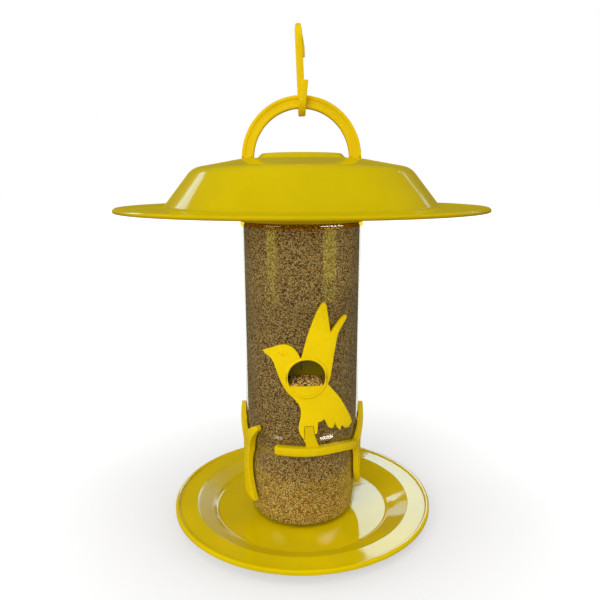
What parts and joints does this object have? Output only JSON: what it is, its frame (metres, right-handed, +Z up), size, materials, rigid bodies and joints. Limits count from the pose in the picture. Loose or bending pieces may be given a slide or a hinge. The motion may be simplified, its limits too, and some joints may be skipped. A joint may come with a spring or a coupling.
{
  "type": "bird feeder",
  "caption": "Hanging tube bird feeder: a clear seed jar under a wide round roof, with bird-shaped feeding ports, branch perches and a round tray.",
  "frame": {"origin": "centre of the tray's underside", "axes": "+Z up along the jar, -Y towards the front bird and port, +X to the right of someone who looks at the front"},
  "size_m": [0.259, 0.259, 0.3604],
  "materials": {
    "yellow_plastic": "gloss",
    "bright_yellow_plastic": "satin",
    "clear_plastic": "clear",
    "millet": "loose seed",
    "soft_seal": "matte"
  },
  "bodies": {
    "feeder": {"tray": "yellow_plastic", "tray_bolt": "bright_yellow_plastic", "seal_washer": "soft_seal", "tray_nut": "bright_yellow_plastic", "jar": "clear_plastic", "seed_fill": "millet", "bird_front": "bright_yellow_plastic", "bird_rear": "bright_yellow_plastic", "feed_port_front": "bright_yellow_plastic", "feed_port_rear": "bright_yellow_plastic", "branch_front": "bright_yellow_plastic", "branch_rear": "bright_yellow_plastic"},
    "liner": {"cap_liner": "soft_seal"},
    "head": {"roof": "yellow_plastic", "jar_cap": "yellow_plastic", "handle_ring": "bright_yellow_plastic"},
    "hook": {"hanging_hook": "bright_yellow_plastic"}
  },
  "joints": [
    {"name": "head_turn", "type": "hinge", "parent": "feeder", "child": "liner", "pos_m": [0, 0, 0.2478], "axis": [0, 0, 1], "range_deg": [0, 360]},
    {"name": "head_lift", "type": "slide", "parent": "liner", "child": "head", "axis": [0, 0, 1], "range_m": [0, 0.06]},
    {"name": "hook_swing", "type": "hinge", "parent": "head", "child": "hook", "pos_m": [0, 0, 0.3071], "axis": [1, 0, 0], "range_deg": [-90, 90]}
  ]
}
